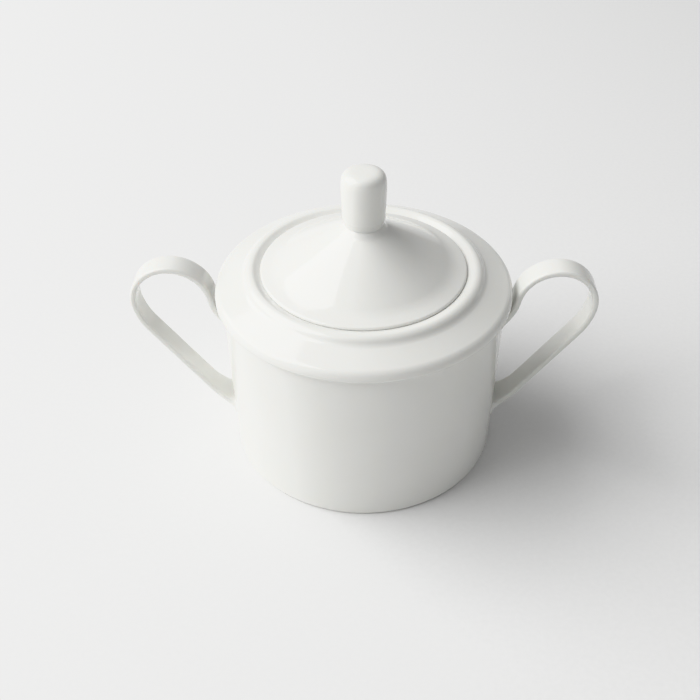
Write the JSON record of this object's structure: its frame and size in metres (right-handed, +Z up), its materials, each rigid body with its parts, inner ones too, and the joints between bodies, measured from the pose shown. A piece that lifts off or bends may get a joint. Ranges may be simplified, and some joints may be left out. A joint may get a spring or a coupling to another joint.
{
  "type": "sugar bowl",
  "caption": "Round lidded porcelain sugar bowl with two ribbon loop handles, recessed conical lift-off lid and thimble knob.",
  "frame": {"origin": "centre of the foot ring's underside, on the surface that the bowl stands on", "axes": "+Z up along the bowl's axis and the lid's lift, +X through the right-hand handle, +Y towards the back"},
  "size_m": [0.156, 0.0984, 0.1045],
  "materials": {
    "porcelain_bowl": "gloss glaze",
    "porcelain_handles": "gloss glaze",
    "porcelain_lid": "gloss glaze"
  },
  "bodies": {
    "bowl": {"bowl_body": "porcelain_bowl", "handle_right": "porcelain_handles", "handle_left": "porcelain_handles"},
    "lid": {"lid": "porcelain_lid", "lid_knob": "porcelain_lid"}
  },
  "joints": [
    {"name": "lid_lift", "type": "slide", "parent": "bowl", "child": "lid", "axis": [0, 0, 1], "range_m": [0, 0.04]}
  ]
}
